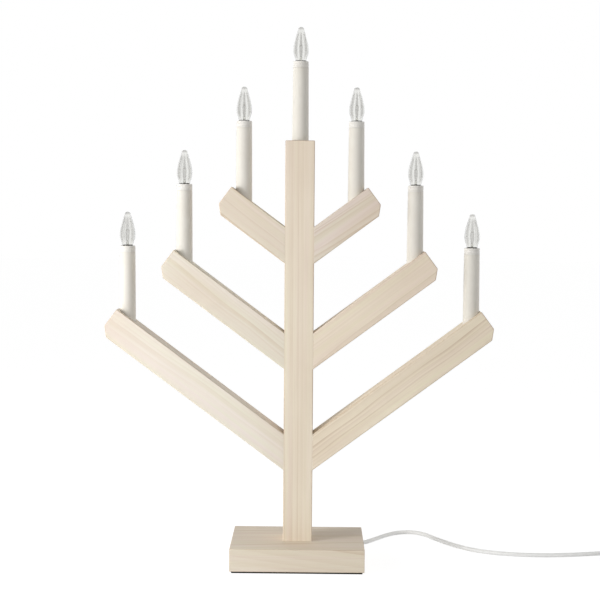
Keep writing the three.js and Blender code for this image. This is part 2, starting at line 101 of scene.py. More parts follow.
# Wood
STOCK = 28.5 * MM
HALF = STOCK / 2
EASED = 0.8 * MM
BASE_EASED = 0.5 * MM
BASE_CORNER = 2.2 * MM
PAD_EASED = 0.35 * MM
PAD_CORNER = 3 * MM
SLOPE = math.radians(36.6)
ARM_CHAMFER = 8 * MM
ARM_CORNER = 2.5 * MM
GROOVE_DEPTH = 5.5 * MM
POST_GROOVE = 6 * MM
ARM_GROOVE = 5 * MM
CROSS_HOLE = 2.6 * MM
TOP_CROSS_BELOW = 20 * MM
RISER_BELOW = 12 * MM
JOINT_SEAM = 0.06 * MM
HOLLOW_HALF = 22 * MM
HOLLOW_FRONT = 8 * MM
HOLLOW_DEPTH = 14.5 * MM
WIRE_HOLE = 2.7 * MM
CORD_HOLE = 4.1 * MM
BROAD_FACE = 230 * MM * MM
LEVELS = ("lower", "middle", "upper")

# Wires in the grooves
WIRE_RADIUS = 0.9 * MM
WIRE_BEND = 2 * MM
WIRE_DEPTH = HALF - GROOVE_DEPTH / 2
PAIR_HALF = 0.75 * MM
RISER_HALF = 0.95 * MM
TRUNK_HALF = 1.2 * MM
TERMINAL_HALF = 4 * MM
TERMINAL_FRONT = 18.7 * MM

# Candles
CANDLE_HEIGHT = 80 * MM
COLLAR_HEIGHT = 6.2 * MM
SLEEVE_FOOT = 8.1 * MM
SLEEVE_TOP = 7.6 * MM
SLEEVE_WALL = 1.1 * MM
SPIGOT = 3.7 * MM
SPIGOT_BORE = 2.3 * MM
SEAM = 0.12 * MM
RING_HEIGHTS = (4.7 * MM, 2.2 * MM)
RING_DEPTH = 0.22 * MM
RIM_EASED = 0.7 * MM
BULB_HEIGHT = 32.9 * MM
BULB_RADIUS = 7.7 * MM
BULB_NECK = 3.95 * MM
GLASS_WALL = 0.55 * MM
HOLLOW_TOP = 31.9 * MM
FLUTES = 8
FLUTE_DEPTH = 0.55 * MM
FLUTE_START = 1 * MM
FLUTE_RISE = 6 * MM
FLUTE_END = 28.8 * MM
FLUTE_FALL = 3 * MM
# Where the bulb's tip starts to be drawn darker, as painted shade, and how far that fades in
SHADED_TIP = 30.2 * MM
SHADED_TIP_FADE = 1.4 * MM
PINCH_TOP = 3.2 * MM
PINCH_FADE = 0.6 * MM
CAP_RADIUS = 4.75 * MM
CAP_LENGTH = 10.8 * MM
THREAD_PITCH = 1.814 * MM
THREAD_DEPTH = 0.42 * MM
LEAD_RADIUS = 0.11 * MM
FILAMENT_RADIUS = 0.06 * MM
FILAMENT_COIL = 0.22
FILAMENT_TURNS = 16
FILAMENT_STEPS = 10

CANDLES = ["top"] + [
    f"{level}_{hand}" for level in ("upper", "middle", "lower") for hand in ("left", "right")
]


# Selection, modifiers and other work at the bench


def clamped(value):
    return min(max(value, 0), 1)


def deselect():
    bpy.ops.object.select_all(action="DESELECT")


def only(piece):
    deselect()
    piece.select_set(True)
    bpy.context.view_layer.objects.active = piece
    return piece


def named(piece, name):
    piece.name = name
    piece.data.name = name
    return piece


def new_object(name, data):
    made = bpy.data.objects.new(name, data)
    bpy.context.scene.collection.objects.link(made)
    return made


def edit_all():
    bpy.ops.object.mode_set(mode="EDIT")
    bpy.ops.mesh.select_all(action="SELECT")


def end_edit():
    bpy.ops.object.mode_set(mode="OBJECT")


def settle(piece):
    """Puts the place, turn and size into the mesh."""
    only(piece)
    bpy.ops.object.transform_apply(location=True, rotation=True, scale=True)
    return piece


def box_piece(name, low, high):
    low, high = Vector(low), Vector(high)
    deselect()
    bpy.ops.mesh.primitive_cube_add(size=1, location=(low + high) / 2)
    piece = named(bpy.context.object, name)
    piece.scale = high - low
    return settle(piece)


def rod_piece(name, radius, start, end):
    start, end = Vector(start), Vector(end)
    way = end - start
    deselect()
    bpy.ops.mesh.primitive_cylinder_add(
        vertices=48, radius=radius, depth=way.length, location=(start + end) / 2
    )
    piece = named(bpy.context.object, name)
    piece.rotation_mode = "QUATERNION"
    piece.rotation_quaternion = way.to_track_quat("Z", "Y")
    return settle(piece)


def finish_with(piece, kind, **settings):
    """Adds a modifier with these settings and applies it."""
    only(piece)
    modifier = piece.modifiers.new(kind.lower(), kind)
    for setting, value in settings.items():
        setattr(modifier, setting, value)
    bpy.ops.object.modifier_apply(modifier=modifier.name)
    return piece


def eased(piece, width, segments=4):
    return finish_with(
        piece, "BEVEL", width=width, segments=segments, limit_method="ANGLE",
        angle_limit=math.radians(25), use_clamp_overlap=False)


def bevel_edges(piece, chosen, width, segments):
    """Bevels the edges that are chosen by their two ends."""
    only(piece)
    bpy.ops.object.mode_set(mode="EDIT")
    bpy.ops.mesh.select_all(action="DESELECT")
    edit = bmesh.from_edit_mesh(piece.data)
    for edge in edit.edges:
        edge.select = chosen(edge.verts[0].co, edge.verts[1].co)
    bmesh.update_edit_mesh(piece.data)
    bpy.ops.mesh.bevel(offset=width, segments=segments)
    end_edit()


def upright(first, second):
    way = first - second
    return abs(way.z) > max(abs(way.x), abs(way.y))


def cut_by(piece, cutters):
    for cutter in cutters:
        finish_with(piece, "BOOLEAN", operation="DIFFERENCE", solver="EXACT", object=cutter)
        bpy.data.objects.remove(cutter)
    return piece


def joined(name, parts):
    only(parts[0])
    for part in parts:
        part.select_set(True)
    bpy.ops.object.join()
    return named(bpy.context.object, name)


def smooth(piece, angle=35):
    only(piece)
    bpy.ops.object.shade_smooth_by_angle(angle=math.radians(angle))
    return piece


def turned(name, profile, steps=48, closed=False):
    """A piece turned about Z from (radius, height) pairs, by the Screw modifier. A closed
    profile makes a ring, and an open one starts and ends on the axis."""
    mesh = bpy.data.meshes.new(name)
    edges = [(i, i + 1) for i in range(len(profile) - 1)]
    if closed:
        edges.append((len(profile) - 1, 0))
    mesh.from_pydata([(radius, 0, height) for radius, height in profile], edges, [])
    piece = new_object(name, mesh)
    finish_with(
        piece, "SCREW", axis="Z", steps=steps, render_steps=steps, use_merge_vertices=True,
        merge_threshold=SAME)
    edit_all()
    bpy.ops.mesh.remove_doubles(threshold=SAME)
    bpy.ops.mesh.normals_make_consistent(inside=False)
    end_edit()
    return piece


def moved(piece, place):
    piece.location = Vector(place)
    return settle(piece)


def copied(piece, name, place):
    """A copy with its own mesh, moved to its place."""
    twin = piece.copy()
    twin.data = piece.data.copy()
    bpy.context.scene.collection.objects.link(twin)
    return moved(named(twin, name), place)


def mark_points(piece, name, values):
    """Gives each point of the mesh a value, for its material to read."""
    attribute = piece.data.attributes.new(name, "FLOAT", "POINT")
    attribute.data.foreach_set("value", values)


def arc(centre, radius, start, end, steps):
    """Points on an arc in a profile, angles in degrees."""
    turns = [math.radians(start + (end - start) * i / steps) for i in range(steps + 1)]
    return [(centre[0] + radius * math.cos(t), centre[1] + radius * math.sin(t)) for t in turns]


def smooth_through(points, steps):
    """Dense points on a centripetal Catmull-Rom curve through these points."""
    points = [Vector(point) for point in points]
    ends = [2 * points[0] - points[1], *points, 2 * points[-1] - points[-2]]
    dense = [points[0]]
    for a, b, c, d in zip(ends, ends[1:], ends[2:], ends[3:]):
        ta, tb = 0.0, (b - a).length**0.5
        tc = tb + (c - b).length**0.5
        td = tc + (d - c).length**0.5
        for step in range(1, steps + 1):
            t = tb + (tc - tb) * step / steps
            ab = a.lerp(b, (t - ta) / (tb - ta))
            bc = b.lerp(c, (t - tb) / (tc - tb))
            cd = c.lerp(d, (t - tc) / (td - tc))
            abc = ab.lerp(bc, (t - ta) / (tc - ta))
            bcd = bc.lerp(cd, (t - tb) / (td - tb))
            dense.append(abc.lerp(bcd, (t - tb) / (tc - tb)))
    return dense


def tube(name, points, radius, resolution=3):
    """A round cord or wire: one open curve through the points."""
    data = bpy.data.curves.new(name, "CURVE")
    data.dimensions = "3D"
    data.bevel_depth = radius
    data.bevel_resolution = resolution
    data.use_fill_caps = True
    spline = data.splines.new("POLY")
    spline.points.add(len(points) - 1)
    for place, point in zip(spline.points, points):
        place.co = (*point, 1)
        place.radius = 1
    spline.use_smooth = True
    return new_object(name, data)


def as_mesh(piece):
    only(piece)
    bpy.ops.object.convert(target="MESH")
    return piece


# Camera


def make_camera():
    data = bpy.data.cameras.new("camera")
    data.lens = CAMERA_LENS
    data.sensor_width = CAMERA_SENSOR
    camera = new_object("camera", data)
    camera.matrix_world = (
        Matrix.Translation(CAMERA_PLACE)
        @ Matrix.Rotation(-CAMERA_YAW, 4, "Z")
        @ Matrix.Rotation(math.pi / 2 + CAMERA_PITCH, 4, "X")
        @ Matrix.Rotation(CAMERA_ROLL, 4, "Z")
    )
    bpy.context.scene.camera = camera


make_camera()


# Shader nodes


class Shader:
    """A node tree being wired, for a material or a group."""

    def __init__(self, tree):
        self.tree = tree

    def set_socket(self, socket, value):
        """Links the socket to another one, or gives it a value."""
        if isinstance(value, bpy.types.NodeSocket):
            self.tree.links.new(value, socket)
        else:
            socket.default_value = value

    def node(self, kind, settings=None, **inputs):
        made = self.tree.nodes.new(kind)
        for setting, value in (settings or {}).items():
            setattr(made, setting, value)
        self.feed(made, **inputs)
        return made

    def feed(self, node, **inputs):
        """Feeds a node's inputs, their names written with _ for a space."""
        for name, value in inputs.items():
            self.set_socket(node.inputs[name.replace("_", " ")], value)

    def math(self, operation, first, second=0.0, clamp=False):
        made = self.node("ShaderNodeMath", {"operation": operation, "use_clamp": clamp})
        for index, value in enumerate((first, second)):
            self.set_socket(made.inputs[index], value)
        return made.outputs[0]

    def plus(self, first, second):
        return self.math("ADD", first, second)

    def minus(self, first, second):
        return self.math("SUBTRACT", first, second)

    def times(self, first, second):
        return self.math("MULTIPLY", first, second)

    def mixed(self, factor, first, second):
        made = self.node("ShaderNodeMix", {"data_type": "RGBA"})
        for index, value in ((0, factor), (6, first), (7, second)):
            self.set_socket(made.inputs[index], value)
        return made.outputs[2]

    def between(self, value, low, high, to_low=0.0, to_high=1.0):
        """Maps low..high to to_low..to_high, clamped."""
        return self.node(
            "ShaderNodeMapRange", {"clamp": True}, Value=value, From_Min=low, From_Max=high,
            To_Min=to_low, To_Max=to_high,
        ).outputs[0]

    def scaled(self, vector, scale, turn=(0, 0, 0), shift=(0, 0, 0)):
        return self.node(
            "ShaderNodeMapping", Vector=vector, Scale=scale, Rotation=turn, Location=shift
        ).outputs[0]

    def noise(self, vector, scale, detail=2.0, roughness=0.5):
        return self.node(
            "ShaderNodeTexNoise", Vector=vector, Scale=scale, Detail=detail, Roughness=roughness
        ).outputs[0]

    def noise_along(self, value, scale):
        """Smooth noise along one value."""
        return self.node(
            "ShaderNodeTexNoise", {"noise_dimensions": "1D"}, W=value, Scale=scale, Detail=1.0
        ).outputs[0]

    def group(self, tree, **inputs):
        return self.node("ShaderNodeGroup", {"node_tree": tree}, **inputs).outputs

def srgb(red, green, blue):
    """A colour given in 0 to 255 as seen on a screen."""

    def linear(value):
        value /= 255
        return value / 12.92 if value <= 0.04045 else ((value + 0.055) / 1.055) ** 2.4

    return (linear(red), linear(green), linear(blue), 1.0)


def new_group(name, inputs, outputs):
    """A shader node group with float inputs (name: default) and outputs, and its wiring."""
    tree = bpy.data.node_groups.new(name, "ShaderNodeTree")
    tree.interface.new_socket("Vector", in_out="INPUT", socket_type="NodeSocketVector")
    for socket, value in inputs.items():
        made = tree.interface.new_socket(socket, in_out="INPUT", socket_type="NodeSocketFloat")
        made.default_value = value
    for socket in outputs:
        tree.interface.new_socket(socket, in_out="OUTPUT", socket_type="NodeSocketFloat")
    shader = Shader(tree)
    return tree, shader, shader.node("NodeGroupInput").outputs, shader.node("NodeGroupOutput")


def pine_grain_group():
    """Growth rings and fibre of a pine board whose length runs along X. The rings are
    cylinders about a pith that lies beside the board and leans a little, so that faces show
    lines and arcs as sawn wood does. They stand closer and wider apart by turns, and some
    are strong and some faint. Cast At picks where the darker casts lie along the board."""
    tree, shader, given, out = new_group(
        "pine_grain",
        {"Pith Y": 0.05, "Pith Z": 0.06, "Ring Width": 0.0035, "Lean": 0.05, "Cast At": 0.0},
        ["Rings", "Fibre", "Drift", "Streaks", "Cast", "Height"],
    )
    vector = given["Vector"]
    sway_reach = 0.016
    crowding = 0.011
    sway = shader.noise(shader.scaled(vector, (2.6, 9, 9)), 1.0, 3.0)
    sway = shader.times(shader.minus(sway, 0.5), sway_reach)
    parts = shader.node("ShaderNodeSeparateXYZ", Vector=vector).outputs
    lean = shader.times(parts[0], given["Lean"])
    aside = shader.plus(shader.minus(parts[1], given["Pith Y"]), lean)
    above = shader.plus(shader.minus(parts[2], given["Pith Z"]), sway)
    reach = shader.math(
        "SQRT", shader.plus(shader.times(aside, aside), shader.times(above, above)))
    reach = shader.plus(reach, sway)
    crowd = shader.noise_along(reach, 110.0)
    reach = shader.plus(reach, shader.times(crowd, crowding))
    years = shader.math("DIVIDE", reach, given["Ring Width"])
    year = shader.math("FRACT", years)
    strength = shader.node("ShaderNodeTexWhiteNoise", {"noise_dimensions": "1D"},
                           W=shader.math("FLOOR", years)).outputs[0]
    rise = shader.between(year, 0.3, 0.9)
    fall = shader.between(year, 0.93, 1.0, 1.0, 0.0)
    rings = shader.times(shader.times(rise, fall), shader.between(strength, 0.2, 1.0, 0.1, 1.0))
    fibre = shader.noise(shader.scaled(vector, (14, 900, 900)), 1.0, 3.0, 0.65)
    drift = shader.noise(shader.scaled(vector, (8, 60, 60)), 1.0, 3.0, 0.55)
    streaks = shader.noise(shader.scaled(vector, (3, 150, 150)), 1.0, 2.0, 0.5)
    cast = shader.node(
        "ShaderNodeTexNoise", {"noise_dimensions": "4D"},
        Vector=shader.scaled(vector, (7, 25, 25)), W=given["Cast At"], Scale=1.0, Detail=1.0,
    ).outputs[0]
    height = shader.plus(shader.times(fibre, 0.7), shader.times(rings, -0.5))
    shader.feed(out, Rings=rings, Fibre=fibre, Drift=drift, Streaks=streaks, Cast=cast,
                Height=height)
    return tree


def fine_marks_group():
    """Handling marks on plastic, metal and painted things: soft blotches, fine speckle and a
    height for a slightly uneven skin."""
    tree, shader, given, out = new_group(
        "fine_marks", {"Grain": 900.0, "Blotch": 60.0}, ["Speckle", "Blotches", "Height"]
    )
    vector = given["Vector"]
    speckle = shader.noise(vector, given["Grain"], 2.0, 0.6)
    blotches = shader.noise(vector, given["Blotch"], 3.0, 0.55)
    height = shader.plus(shader.times(speckle, 0.3), blotches)
    shader.feed(out, Speckle=speckle, Blotches=blotches, Height=height)
    return tree


PINE_GRAIN = pine_grain_group()
FINE_MARKS = fine_marks_group()


def new_material(name):
    material = bpy.data.materials.new(name)
    material.use_nodes = True
    shader = Shader(material.node_tree)
    surface = material.node_tree.nodes["Principled BSDF"]
    place = shader.node("ShaderNodeTexCoord").outputs["Object"]
    return material, shader, surface, place


def bump(shader, surface, height, depth, strength):
    made = shader.node("ShaderNodeBump", Height=height, Distance=depth, Strength=strength)
    shader.feed(surface, Normal=made.outputs[0])


def whitewashed_pine(name, turn, shift, pith, glaze, tone, cast):
    """Pine under a thin pale glaze of this colour. Turn brings the board's length to X, shift
    and cast pick the stretch of timber, pith its sawing, and tone how strong its grain is."""
    material, shader, surface, place = new_material(name)
    grain = shader.group(
        PINE_GRAIN, Vector=shader.scaled(place, (1, 1, 1), (0, turn, 0), shift), Pith_Y=pith[0],
        Pith_Z=pith[1], Ring_Width=pith[2], Lean=pith[3], Cast_At=cast)
    fibre, drift = grain["Fibre"], grain["Drift"]
    pale = shader.mixed(shader.between(grain["Streaks"], 0.36, 0.64), PINE_PINK, PINE_YELLOW)
    pale = shader.mixed(shader.between(drift, 0.35, 0.68, 0.0, 0.35), pale, PINE_DEEP)
    glazed = shader.mixed(0.5, pale, srgb(*glaze))
    glazed = shader.mixed(
        shader.between(grain["Cast"], 0.35, 0.65, 0.0, 0.5), glazed, PINE_CAST)
    lines = shader.times(grain["Rings"], shader.between(drift, 0.32, 0.68, 0.25, 0.75))
    wood = shader.mixed(shader.times(lines, tone), glazed, LATE_WOOD)
    wood = shader.mixed(shader.between(fibre, 0.48, 0.75, 0.0, 0.2 * tone), wood, LATE_WOOD)
    worn = shader.node("ShaderNodeAttribute", {"attribute_name": "worn"}).outputs["Fac"]
    rubbed = shader.times(worn, shader.between(fibre, 0.3, 0.6, 0.3, 0.8))
    wood = shader.mixed(rubbed, wood, BARE_EDGE)
    shader.feed(surface, Base_Color=wood, Specular_IOR_Level=0.3,
                Roughness=shader.between(fibre, 0.2, 0.8, 0.6, 0.72))
    bump(shader, surface, grain["Height"], 0.1 * MM, 0.45)
    return material


def plain_finish(name, colour, shade, roughness, metal=0.0):
    """A plastic or metal with fine marks: two near colours in 0 to 255, a roughness that
    wanders and a slightly uneven skin."""
    material, shader, surface, place = new_material(name)
    marks = shader.group(FINE_MARKS, Vector=place)
    patchy = shader.between(marks["Blotches"], 0.35, 0.7)
    rough = shader.between(marks["Speckle"], 0.3, 0.7, roughness - 0.06, roughness + 0.08)
    shader.feed(surface, Base_Color=shader.mixed(patchy, srgb(*colour), srgb(*shade)),
                Metallic=metal, Roughness=rough)
    bump(shader, surface, marks["Height"], 0.02 * MM, 0.6)
    return material


def glass_finish(name, clear, painted_shade, edge, roughness):
    """Clear glass drawn darker where its points have a value for painted shade, as in a bulb's
    flutes and tip and in a stem's pinch, and darker towards its outline. Both are painted shade,
    for the grey streaks, dark tip and pinch and dark outline that refraction gives."""
    material, shader, surface, _ = new_material(name)
    painted_shade_mask = shader.node("ShaderNodeAttribute", {"attribute_name": "painted_shade"}).outputs["Fac"]
    outline_shade_mask = shader.node("ShaderNodeLayerWeight", Blend=0.5).outputs["Facing"]
    # Painted shade: the glass darker in flutes, tip and pinch, and darker towards its outline
    shaded_glass = shader.mixed(painted_shade_mask, (*clear, 1), (*painted_shade, 1))
    shaded_glass = shader.mixed(shader.between(outline_shade_mask, 0.45, 0.95), shaded_glass, (*edge, 1))
    shader.feed(
        surface, Base_Color=shaded_glass, Roughness=roughness, IOR=1.47, Transmission_Weight=1.0)
    return material


def felt_finish(name):
    material, shader, surface, place = new_material(name)
    nap = shader.noise(place, 1800, 3.0, 0.7)
    # The near-black colour is felt and painted shade: it also stands for the shade in the gap under
    # the base
    pile_and_shade = shader.mixed(shader.between(nap, 0.3, 0.7), srgb(18, 16, 13), srgb(32, 29, 24))
    shader.feed(surface, Base_Color=pile_and_shade, Roughness=0.95, Sheen_Weight=0.1)
    bump(shader, surface, nap, 0.3 * MM, 0.8)
    return material


PINE_PINK = srgb(236, 215, 204)
PINE_YELLOW = srgb(228, 217, 187)
PINE_CAST = srgb(216, 197, 178)
PINE_DEEP = srgb(220, 201, 178)
LATE_WOOD = srgb(200, 178, 152)
BARE_EDGE = srgb(200, 178, 154)

CANDLE_WHITE = plain_finish("candle_white", (221, 217, 208), (218, 213, 203), 0.42)
HOLDER_WHITE = plain_finish("holder_white", (226, 223, 217), (222, 218, 211), 0.38)
FLEX_WHITE = plain_finish("flex_white", (251, 251, 249), (247, 247, 245), 0.36)
WIRE_WHITE = plain_finish("wire_white", (236, 235, 230), (228, 226, 219), 0.4)
# The second colour is painted shade in the bulb's flutes and tip and the stem's pinch, the third
# painted shade towards the outline
BULB_GLASS = glass_finish(
    "bulb_glass", (0.91, 0.91, 0.895), (0.68, 0.675, 0.66), (0.6, 0.595, 0.59), 0.0)
STEM_GLASS = glass_finish(
    "stem_glass", (0.88, 0.88, 0.84), (0.58, 0.57, 0.53), (0.7, 0.7, 0.66), 0.05)
CAP_METAL = plain_finish("cap_metal", (206, 186, 140), (190, 168, 120), 0.26, 1.0)
SOLDER = plain_finish("solder", (180, 180, 178), (150, 150, 150), 0.35, 1.0)
LEAD_WIRE = plain_finish("lead_wire", (168, 162, 152), (148, 142, 134), 0.4, 1.0)
PIN_METAL = plain_finish("pin_metal", (205, 203, 196), (188, 186, 180), 0.22, 1.0)
PIN_SLEEVE = plain_finish("pin_sleeve", (225, 225, 222), (214, 214, 210), 0.5)
ZINC = plain_finish("zinc", (186, 190, 194), (160, 164, 168), 0.32, 1.0)
BEECH = plain_finish("beech", (214, 182, 140), (196, 160, 118), 0.6)
# The pad's near-black felt, partly painted shade for the gap under the base
FELT_AND_SHADE = felt_finish("felt")


def coated(piece, material):
    piece.data.materials.clear()
    piece.data.materials.append(material)
    return piece


def dressed(piece, material, body="root", replaces=()):
    """Gives a piece its material, its body and the nodes it replaces."""
    coated(piece, material)
    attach(piece, body)
    if replaces:
        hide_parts(*replaces)
    return piece


# Cord, strain relief and plug

relief_low, relief_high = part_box("strain_relief")
relief_axis = (relief_low.z + relief_high.z) / 2
relief_tip = relief_high.y

# The loose stretch's way in millimetres: down from the strain relief, then over the floor
CORD_DOWN = [
    (0, 74, 9.3), (1.6, 81.2, 8.6), (6.1, 87, 7.4), (12.6, 90.4, 5.8),
    (20, 90.7, 4.2), (26.8, 87.9, 2.9),
]
CORD_ALONG = [
    (35.5, 80.3), (42.1, 73.9), (48.7, 70), (55.5, 68.8), (62.3, 70), (71.5, 76.8),
    (81.5, 90.3), (94.4, 108.5), (106.5, 119.4), (119.5, 122.7), (132.5, 114.9), (144.3, 94.4),
    (155.5, 75.2), (166.4, 59.4), (179, 46), (196, 35.5), (220, 28), (250, 26),
    (280, 29.5), (306, 36), (322, 39), (334, 40),
]

coil_inside = COILED_LENGTH / (2 * math.pi * COIL_TURNS) - COIL_PITCH * COIL_TURNS / 4


def coil_radius(turn):
    """Winds in at a steady rate and out again, rounded off where it reverses."""
    return coil_inside + COIL_PITCH * math.hypot(turn - COIL_TURNS / 2, COIL_REVERSAL)


def coil_point(turn):
    angle = math.pi / 2 - turn * 2 * math.pi
    climb = clamped((turn - COIL_TURNS / 2) * 2 + 0.5)
    return Vector((
        COIL_CENTRE[0] + coil_radius(turn) * math.cos(angle),
        COIL_CENTRE[1] + coil_radius(turn) * math.sin(angle),
        CORD_FLOOR + COIL_LAYER * (1 - math.cos(math.pi * climb)) / 2,
    ))


def cord_line():
    """The cord's middle line: the loose stretch, then the coil, then straight to the plug."""
    entry = coil_point(0) - Vector((2 * CORD_RADIUS, 0, 0))
    start = Vector((0, relief_tip + GAP, relief_axis))
    down = [Vector(point) * MM for point in CORD_DOWN]
    along = [Vector((x * MM, y * MM, CORD_FLOOR)) for x, y in CORD_ALONG]
    loose = [start, *down, *along, entry - Vector((GAP, 0, 0))]
    line = smooth_through(loose, 5) + [entry]
    count = round(COIL_TURNS * COIL_STEPS)
    line += [coil_point(step / COIL_STEPS) for step in range(count + 1)]
    line.append(line[-1] - Vector((0, 2 * CORD_RADIUS, 0)))
    return line


def make_plug(end):
    """A flat two-pin plug whose tail meets the cord's end. Its pins point towards -Y."""
    low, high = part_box("plug")
    middle = (low.z + high.z) / 2
    centre = end.x
    face = low.y + PIN_LENGTH
    shoulder = high.y - PLUG_TAIL
    half = (high.x - low.x) / 2
    body = box_piece("plug_body", (centre - half, face, low.z), (centre + half, shoulder, high.z))
    edit_all()
    bpy.ops.mesh.subdivide(number_cuts=5)
    end_edit()
    for vertex in body.data.vertices:
        share = (vertex.co.y - face) / (shoulder - face)
        waist = 1 - 0.16 * min(share / 0.6, 1) - 0.5 * max((share - 0.6) / 0.4, 0) ** 1.5
        flat = 1 - 0.28 * max((share - 0.55) / 0.45, 0) ** 1.4
        vertex.co.x = centre + (vertex.co.x - centre) * waist
        vertex.co.z = middle + (vertex.co.z - middle) * flat
    eased(body, PLUG_ROUND)
    grips = []
    for side in (-1, 1):
        for index in range(GRIPS):
            x = centre + side * (half + GRIP_OUT - GRIP_STEP * index)
            y = face + GRIP_START + index * GRIP_PITCH
            grips.append(box_piece("grip", (x - GRIP_HALF, y, low.z - MM),
                                   (x + GRIP_HALF, y + GRIP_WIDTH, high.z + MM)))
    cut_by(body, grips)
    tail_profile = [(0, -MM), (PLUG_TAIL_RADIUS, -MM)]
    for index in range(4):
        base = (1.2 + index * 3.5) * MM
        radius = PLUG_TAIL_RADIUS - 0.28 * MM * index
        tail_profile += [(radius, base), (radius - 0.6 * MM, base + 0.3 * MM),
                         (radius - 0.6 * MM, base + 1.2 * MM), (radius - 0.1 * MM, base + 1.5 * MM)]
    tail_profile += [(2.9 * MM, PLUG_TAIL - 0.3 * MM), (2.7 * MM, PLUG_TAIL), (0, PLUG_TAIL)]
    tail = turned("plug_tail", tail_profile)
    tail.rotation_euler = (-math.pi / 2, 0, 0)
    moved(tail, (centre, shoulder, middle))
    plug = smooth(joined("plug_moulding", [body, tail]), 30)
    tip = [(max(radius + 0.02 * MM, 0), height)
           for radius, height in arc((0, 17.4 * MM), 1.6 * MM, 0, 90, 6)[1:-1]]
    pins, sleeves = [], []
    for side in (-1, 1):
        sleeve = turned("pin_sleeve", [
            (0, -MM), (1.95 * MM, -MM), (1.95 * MM, PIN_SLEEVE_LENGTH - 0.3 * MM),
            (1.7 * MM, PIN_SLEEVE_LENGTH), (0, PIN_SLEEVE_LENGTH)], 24)
        pin = turned("pin", [(0, 9 * MM), (PIN_RADIUS, 9 * MM), (PIN_RADIUS, 17 * MM), *tip,
                             (0, PIN_LENGTH)], 24)
        for part in (sleeve, pin):
            part.rotation_euler = (math.pi / 2, 0, 0)
            moved(part, (centre + side * PIN_HALF, face, middle))
        pins.append(pin)
        sleeves.append(sleeve)
    dressed(plug, FLEX_WHITE, replaces=("plug",))
    pins = dressed(smooth(joined("plug_pins", pins)), PIN_METAL)
    sleeves = dressed(smooth(joined("plug_pin_sleeves", sleeves)), PIN_SLEEVE)
    return [plug, pins, sleeves]


def make_strain_relief():
    """Moulded on the cord: a flange inside, a neck in the wall, and a ribbed taper outside."""
    inside = relief_low.y
    wall_inner = WALL_INSIDE - GAP
    wall_outer = WALL_OUTSIDE + GAP
    root = wall_outer + 2 * MM
    profile = [(0, inside), (RELIEF_FLANGE, inside), (RELIEF_FLANGE, wall_inner),
               (RELIEF_NECK, wall_inner), (RELIEF_NECK, wall_outer),
               (RELIEF_COLLAR - 0.3 * MM, wall_outer), (RELIEF_COLLAR, wall_outer + 0.3 * MM),
               (RELIEF_COLLAR, wall_outer + 1.6 * MM), (RELIEF_COLLAR - 0.4 * MM, root)]
    for index in range(RELIEF_RIBS):
        base = root + (relief_tip - root) * (0.06 + index / (RELIEF_RIBS + 0.6))
        radius = (5 - 2 * index / RELIEF_RIBS) * MM
        profile += [(radius, base), (radius, base + 1.6 * MM), (radius - 0.8 * MM, base + 1.8 * MM),
                    (radius - 0.8 * MM, base + 2.6 * MM)]
    profile += [(2.9 * MM, relief_tip - 0.4 * MM), (2.6 * MM, relief_tip), (0, relief_tip)]
    relief = turned("strain_relief_moulding", profile)
    relief.rotation_euler = (-math.pi / 2, 0, 0)
    moved(relief, (0, 0, relief_axis))
    return dressed(smooth(relief, 30), FLEX_WHITE, replaces=("strain_relief",))


cord_points = cord_line()
cord = dressed(tube("cord", cord_points, CORD_RADIUS, 4), FLEX_WHITE,
               replaces=("cord_flex", "cord_coil"))
cord_ends = make_plug(cord_points[-1]) + [make_strain_relief()]


# Wood


def finished_board(board, flat, material, node):
    """Marks the points on the eased edges as worn, which touch only narrow faces, and smooths
    the board but for its wide faces, whose normals lie along the directions in flat."""
    worn = [1.0] * len(board.data.vertices)
    for polygon in board.data.polygons:
        if polygon.area > BROAD_FACE:
            for index in polygon.vertices:
                worn[index] = 0.0
    mark_points(board, "worn", worn)
    smooth(board, 30)
    for polygon in board.data.polygons:
        if max(abs(polygon.normal.dot(way)) for way in flat) > ALIGNED:
            polygon.use_smooth = False
    return dressed(board, material, replaces=(node,))


def candle_place(candle):
    """The middle of a candle's foot, from its socket and height."""
    low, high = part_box(f"socket_{candle}")
    return Vector(((low.x + high.x) / 2, 0, high.z - CANDLE_HEIGHT))


def candle_cutters(place, top, cross):
    """What makes room in the wood for a candle's foot, for its spigot, and for the wires that
    come to it at this height from the groove at the back."""
    return [
        rod_piece("pocket", SLEEVE_FOOT + GAP, place, (place.x, 0, top)),
        rod_piece("riser", SPIGOT + GAP, place - Vector((0, 0, RISER_BELOW)),
                  place + Vector((0, 0, MM))),
        rod_piece("cross_hole", CROSS_HOLE, (place.x, 0, cross), (place.x, STOCK, cross)),
    ]


def arm_facts(level):
    """The length of an arm's middle line from the post, and its height there."""
    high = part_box(f"arm_{level}_right")[1]
    length = (high.x - HALF - (HALF - ARM_CHAMFER) * math.sin(SLOPE)) / math.cos(SLOPE)
    height = high.z - length * math.sin(SLOPE) - HALF * math.cos(SLOPE)
    return length, height


def groove_cutter(side, level, out):
    """A saw kerf along the back of an arm, from the post's middle to the candle."""
    _, height = arm_facts(level)
    kerf = box_piece("kerf", (0, HALF - GROOVE_DEPTH, -ARM_GROOVE / 2),
                     (out / math.cos(SLOPE), STOCK, ARM_GROOVE / 2))
    kerf.rotation_euler = (0, -SLOPE if side > 0 else SLOPE - math.pi, 0)
    kerf.location = (0, 0, height - HALF * math.tan(SLOPE))
    return settle(kerf)


